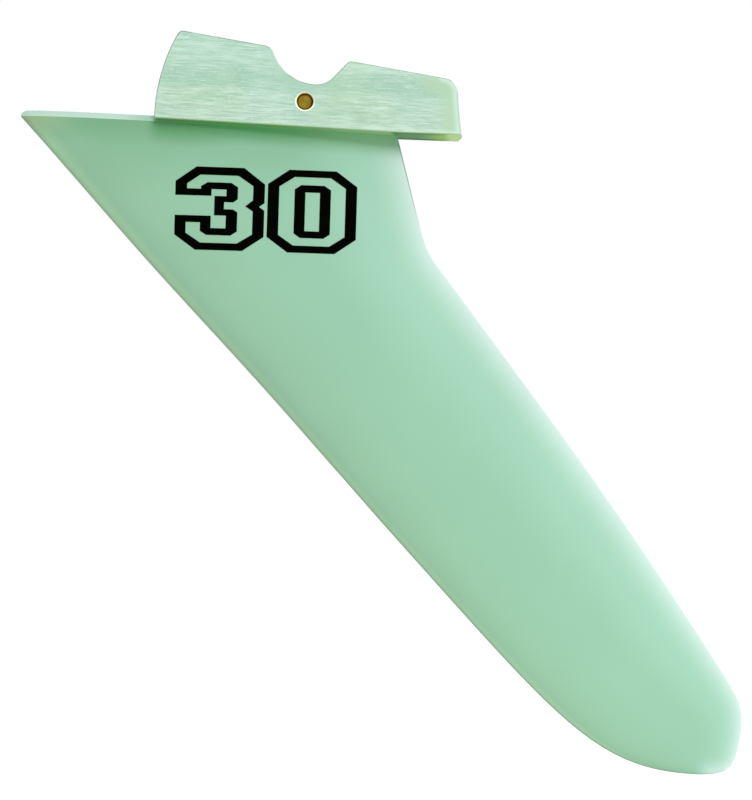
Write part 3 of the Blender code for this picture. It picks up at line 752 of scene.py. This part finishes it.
def ink_finish(settings):
    """Screen-printed ink: near black and slightly satin, with a faint mottle from the mesh."""
    finish, tree, shader, place = new_finish("screen_printed_ink")
    mottle = add_node(tree, "ShaderNodeTexNoise", {
        "Vector": place, "Scale": INK_MOTTLE, "Detail": 2.0}).outputs["Fac"]
    share = add_node(tree, "ShaderNodeMapRange", {0: mottle, 1: 0.4, 2: 0.7, 4: 0.5}).outputs[0]
    rough = add_node(tree, "ShaderNodeMapRange", {0: mottle, 3: 0.5, 4: 0.62})
    set_inputs(tree, shader, {
        "Base Color": paint(tree, settings.ink, settings.mottle, share), "Roughness": rough.outputs[0],
        "Specular IOR Level": 0.0})
    return finish


def brass_finish(settings):
    """Turned brass: ring marks on the ends, drawn coarse enough to show, and dulled by salt water."""
    finish, tree, shader, place = new_finish("turned_brass")
    reach = distance_from(tree, place, (BORE_X, BORE_Z))
    turns = add_node(tree, "ShaderNodeMath", {0: reach, 1: 2.0 * math.pi / settings.groove},
                     operation="MULTIPLY")
    rings = add_node(tree, "ShaderNodeMath", {0: turns.outputs[0]}, operation="SINE")
    stain = add_node(tree, "ShaderNodeTexNoise", {
        "Vector": place, "Scale": BRASS_STAINS, "Detail": 3.0}).outputs["Fac"]
    share = add_node(tree, "ShaderNodeMapRange", {0: stain, 1: 0.4, 2: 0.65, 4: 0.6}).outputs[0]
    colour = paint(tree, settings.brass, settings.stain, share)

    # Painted shade: a dark ring round the end's rim, widest and darkest on the upper aft side, where the
    # bore shades it, with a more orange painted glint on the lower fore side
    split = add_node(tree, "ShaderNodeSeparateXYZ", {0: place})
    slant = from_line(tree, split.outputs["X"], -1.0, BORE_X + BORE_Z, split.outputs["Z"])
    above = zone_level(tree, (slant, 0.0010, -0.0022))
    outward = add_node(tree, "ShaderNodeMath", {0: above, 1: settings.rim_gain, 2: reach},
                       operation="MULTIPLY_ADD")
    rim_shade_and_glint = paint(tree, settings.rim_glint_low, settings.rim_shade_high, above)
    colour = paint(tree, colour, rim_shade_and_glint, (outward.outputs[0], NUT_RADIUS - 0.0008, NUT_RADIUS - 0.0002))
    rough = add_node(tree, "ShaderNodeMapRange", {0: stain, 3: 0.28, 4: 0.5})
    relief = add_node(tree, "ShaderNodeBump", {
        "Height": rings.outputs[0], "Strength": 0.3, "Distance": 0.00003})
    set_inputs(tree, shader, {
        "Base Color": colour, "Roughness": rough.outputs[0], "Normal": relief.outputs[0], "Metallic": 1.0})
    return finish


class FIN_OT_dress_body(bpy.types.Operator):
    """Give the blade and head their smooth surfaces and laminate finishes"""

    bl_idname = "fin.dress_body"
    bl_label = "Dress the fin body"

    def execute(self, context):
        laminate = context.scene.fin_laminate
        head = context.scene.fin_head
        body = merged_copy(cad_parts["fin_body"], "laminate_body")
        bpy.ops.object.shade_smooth_by_angle(angle=SMOOTH_ANGLE)
        smooth_lead(body.data)
        add_edge_distances(body.data)
        finishes = {
            "blade": blade_finish(laminate),
            "bevel": bevel_finish(laminate),
            "side": sanded_finish(head),
            "sawn": cut_end_finish(head, laminate),
            "broken_edge_shade": broken_edge_shade_finish(head),
            # Painted highlight: the broken foot edge is given a bright cream though it faces down into
            # shade
            "foot_edge_highlight": sawn_finish(laminate, "broken_foot_highlight", head.foot_edge_highlight, head.warm),
            "foot": foot_finish(head),
            # Painted light: the bore's wall and the countersink glow by emission and have light colours, so
            # they stay bright in their shade
            "bore": lit_through(
                sawn_finish(laminate, "drilled_laminate", head.bore, head.bore_dark),
                head.bore_dark, head.bore_glow),
            "rim": lit_through(
                sawn_finish(laminate, "countersunk_laminate", head.sink, head.sink_dark),
                head.sink, head.sink_glow),
        }
        for finish in finishes.values():
            body.data.materials.append(finish)
        names = list(finishes)
        for polygon in body.data.polygons:
            polygon.material_index = names.index(face_finish(polygon))
        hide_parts("fin_body")
        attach(body, BODY)
        return {"FINISHED"}


def three_outline(right, top):
    """Corners, in millimetres, of a block 3 drawn as an outline: its outer line, then its inner one."""
    outer = [
        (0.0, 25.7), (0.0, 32.3), (9.8, top), (right - 10.0, top), (right, 31.9), (right, 23.0),
        (39.7, 21.2), (right, 19.4), (right, 6.9), (right - 10.0, 0.0), (10.0, 0.0), (0.0, 7.0),
        (0.0, 16.2), (17.1, 16.2), (17.1, 10.4), (24.2, 10.4), (24.2, 16.5), (18.6, 16.5),
        (18.6, 25.7), (24.2, 25.7), (24.2, 28.9), (17.1, 28.9), (17.1, 25.7)]
    inner = [
        (5.5, 28.9), (5.5, 31.3), (11.6, 35.6), (right - 12.6, 35.6), (right - 5.5, 30.9),
        (right - 5.5, 24.2), (33.2, 21.2), (right - 5.5, 18.9), (right - 5.5, 7.9), (right - 12.6, 3.4),
        (12.4, 3.4), (5.3, 7.9), (5.3, 13.0), (12.1, 13.0), (12.1, 8.9), (15.2, 7.1), (26.6, 7.1),
        (29.6, 9.1), (29.6, 18.2), (27.5, 19.5), (23.2, 19.5), (23.2, 22.9), (27.5, 22.9),
        (29.6, 24.4), (29.6, 30.1), (26.4, 32.1), (15.2, 32.1), (12.1, 30.2), (12.1, 28.9)]
    return [outer, inner]


def octagon(left, low, right, top, cut_across, cut_up):
    """Corners of a box with its four corners cut off."""
    return [
        (left + cut_across, low), (right - cut_across, low), (right, low + cut_up), (right, top - cut_up),
        (right - cut_across, top), (left + cut_across, top), (left, top - cut_up), (left, low + cut_up)]


def nought_outline(width, height):
    """Corners of a block 0 drawn as an outline: outer line, inner line, then the eye's two lines."""
    return [
        octagon(0.0, 0.0, width, height, 10.0, 7.1),
        octagon(5.4, 3.4, width - 5.4, height - 3.3, 7.2, 4.8),
        octagon(12.7, 7.1, width - 12.4, height - 7.1, 3.1, 2.1),
        [(17.8, 10.4), (width - 17.6, 10.4), (width - 17.6, height - 10.5), (17.8, height - 10.5)]]


def number_plate(name, loops, offset):
    """Fill closed loops, given in millimetres, as a flat mesh."""
    deselect()
    bpy.ops.object.add(type="CURVE")
    sketch = bpy.context.object
    sketch.name = name
    sketch.data.dimensions = "2D"
    sketch.data.fill_mode = "BOTH"
    for loop in loops:
        spline = sketch.data.splines.new("POLY")
        spline.points.add(len(loop) - 1)
        spline.use_cyclic_u = True
        for point, (across, up) in zip(spline.points, loop):
            point.co = (across / MM_PER_METRE + offset, up / MM_PER_METRE, 0.0, 1.0)
    pick(sketch)
    bpy.ops.object.convert(target="MESH")
    return bpy.context.object


class FIN_OT_print_number(bpy.types.Operator):
    """Print the fin's depth in centimetres on its port side"""

    bl_idname = "fin.print_number"
    bl_label = "Print the number"

    def execute(self, context):
        number = context.scene.fin_number
        width = number.width * MM_PER_METRE
        height = number.height * MM_PER_METRE
        three = number_plate("number_three", three_outline(width, height), 0.0)
        nought = number_plate("number_nought", nought_outline(width, height), number.width + number.gap)
        deselect()
        three.select_set(True)
        nought.select_set(True)
        context.view_layer.objects.active = three
        bpy.ops.object.join()
        print_film = context.object
        print_film.name = "printed_number"

        # Cut the flat sheet small enough to follow the blade's curve
        bpy.ops.object.mode_set(mode="EDIT")
        for axis, reach in ((0, number.width * 2.0 + number.gap), (1, number.height)):
            normal = [0.0, 0.0, 0.0]
            normal[axis] = 1.0
            for step in range(1, int(reach / SHEET_STEP) + 1):
                point = [0.0, 0.0, 0.0]
                point[axis] = step * SHEET_STEP
                bpy.ops.mesh.select_all(action="SELECT")
                bpy.ops.mesh.bisect(plane_co=point, plane_no=normal)
        bpy.ops.mesh.select_all(action="SELECT")
        bpy.ops.mesh.remove_doubles(threshold=SHEET_MERGE)
        bpy.ops.object.mode_set(mode="OBJECT")

        # Stand it up in front of the port side and lay it on the blade
        upright = Matrix.Rotation(math.radians(90.0), 4, "X")
        tilt = Matrix.Rotation(-number.turn, 4, "Y")
        start = Matrix.Translation((number.foot[0], -SHEET_STAND_OFF, number.foot[1]))
        print_film.data.transform(start @ tilt @ upright)
        wrap = print_film.modifiers.new("lay_on_blade", "SHRINKWRAP")
        wrap.target = bpy.data.objects["laminate_body"]
        wrap.wrap_method = "PROJECT"
        wrap.use_project_y = True
        wrap.offset = number.film / 2.0
        bpy.ops.object.modifier_apply(modifier=wrap.name)
        film = print_film.modifiers.new("film", "SOLIDIFY")
        film.thickness = number.film
        film.offset = 1.0
        bpy.ops.object.modifier_apply(modifier=film.name)
        bpy.ops.object.mode_set(mode="EDIT")
        bpy.ops.mesh.select_all(action="SELECT")
        bpy.ops.mesh.normals_make_consistent(inside=False)
        bpy.ops.object.mode_set(mode="OBJECT")
        bpy.ops.object.shade_smooth_by_angle(angle=SHEET_ANGLE)
        print_film.data.materials.append(ink_finish(number))
        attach(print_film, BODY)
        return {"FINISHED"}


class FIN_OT_dress_nut(bpy.types.Operator):
    """Give the barrel nut its turned brass finish"""

    bl_idname = "fin.dress_nut"
    bl_label = "Dress the barrel nut"

    def execute(self, context):
        nut = merged_copy(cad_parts["barrel_nut"], "brass_nut")
        bpy.ops.object.shade_smooth_by_angle(angle=SMOOTH_ANGLE)
        nut.data.materials.append(brass_finish(context.scene.fin_nut))
        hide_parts("barrel_nut")
        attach(nut, BODY)
        return {"FINISHED"}


def seen_directly(tree):
    """One for a ray from the camera, off a mirror or through glass, nought for any other."""
    path = add_node(tree, "ShaderNodeLightPath")
    first = add_node(tree, "ShaderNodeMath", {
        0: path.outputs["Is Camera Ray"], 1: path.outputs["Is Glossy Ray"]}, operation="MAXIMUM")
    return add_node(tree, "ShaderNodeMath", {
        0: first.outputs[0], 1: path.outputs["Is Transmission Ray"]}, operation="MAXIMUM").outputs[0]


class FIN_OT_set_stage(bpy.types.Operator):
    """Set the floor, the lamp, the sky and the camera"""

    bl_idname = "fin.set_stage"
    bl_label = "Set the stage"

    def execute(self, context):
        stage = context.scene.fin_stage
        centre = (cad_box[0] + cad_box[1]) / 2.0
        deselect()
        bpy.ops.mesh.primitive_plane_add(
            size=stage.floor_size, location=(centre.x, 0.0, cad_box[0].z - stage.floor_drop))
        floor = context.object
        floor.name = "floor"
        finish, tree, shader = new_finish("white_floor")[:3]
        glow = add_node(tree, "ShaderNodeMath", {0: seen_directly(tree), 1: stage.floor_glow},
                        operation="MULTIPLY")
        set_inputs(tree, shader, {
            "Base Color": (stage.floor_grey, stage.floor_grey, stage.floor_grey, 1.0),
            "Roughness": 0.9, "Specular IOR Level": 0.0, "Emission Color": "FFFFFF",
            "Emission Strength": glow.outputs[0]})
        floor.data.materials.append(finish)

        world = bpy.data.worlds.new("white_room")
        world.use_nodes = True
        tree = world.node_tree
        level = add_node(tree, "ShaderNodeMapRange", {0: seen_directly(tree), 3: stage.sky, 4: 1.0})
        set_inputs(tree, tree.nodes["Background"], {"Color": "FFFFFF", "Strength": level.outputs[0]})
        context.scene.world = world

        lamp = bpy.data.lights.new("soft_lamp", "SUN")
        lamp.energy = stage.key
        lamp.angle = stage.key_spread
        holder = bpy.data.objects.new("soft_lamp", lamp)
        aim = Vector(stage.key_from).normalized()
        holder.location = centre + aim
        holder.rotation_euler = (-aim).to_track_quat("-Z", "Y").to_euler()
        context.scene.collection.objects.link(holder)

        lens = bpy.data.cameras.new("camera")
        lens.lens = stage.lens
        lens.sensor_width = stage.sensor
        eye = bpy.data.objects.new("camera", lens)
        eye.location = stage.eye
        eye.rotation_euler = (math.radians(90.0), stage.roll, 0.0)
        context.scene.collection.objects.link(eye)
        context.scene.camera = eye
        context.scene.view_settings.view_transform = "Standard"
        return {"FINISHED"}


class FIN_PT_panel(bpy.types.Panel):
    """Lists the fin's settings and the steps that build it"""

    bl_idname = "FIN_PT_panel"
    bl_label = "Windsurf fin"
    bl_space_type = "VIEW_3D"
    bl_region_type = "UI"
    bl_category = "Windsurf fin"

    def draw(self, context):
        for settings, step in (
                (context.scene.fin_laminate, "fin.dress_body"),
                (context.scene.fin_head, "fin.dress_body"),
                (context.scene.fin_number, "fin.print_number"),
                (context.scene.fin_nut, "fin.dress_nut"),
                (context.scene.fin_stage, "fin.set_stage")):
            box = self.layout.box()
            for name in settings.bl_rna.properties.keys():
                if name not in ("rna_type", "name"):
                    box.prop(settings, name)
            box.operator(step)


CLASSES = (
    LaminateSettings, HeadSettings, NumberSettings, NutSettings, StageSettings,
    FIN_OT_dress_body, FIN_OT_print_number, FIN_OT_dress_nut, FIN_OT_set_stage, FIN_PT_panel)

SETTINGS = {
    "fin_laminate": LaminateSettings,
    "fin_head": HeadSettings,
    "fin_number": NumberSettings,
    "fin_nut": NutSettings,
    "fin_stage": StageSettings,
}


def register():
    """Add the settings, steps and panel."""
    for item in CLASSES:
        bpy.utils.register_class(item)
    for name, group in SETTINGS.items():
        setattr(bpy.types.Scene, name, PointerProperty(type=group))


def unregister():
    """Take the settings, steps and panel away."""
    for name in SETTINGS:
        delattr(bpy.types.Scene, name)
    for item in reversed(CLASSES):
        bpy.utils.unregister_class(item)


def main():
    """Dress the fin."""
    register()
    bpy.ops.fin.dress_body()
    bpy.ops.fin.print_number()
    bpy.ops.fin.dress_nut()
    bpy.ops.fin.set_stage()


if __name__ == "__main__":
    main()
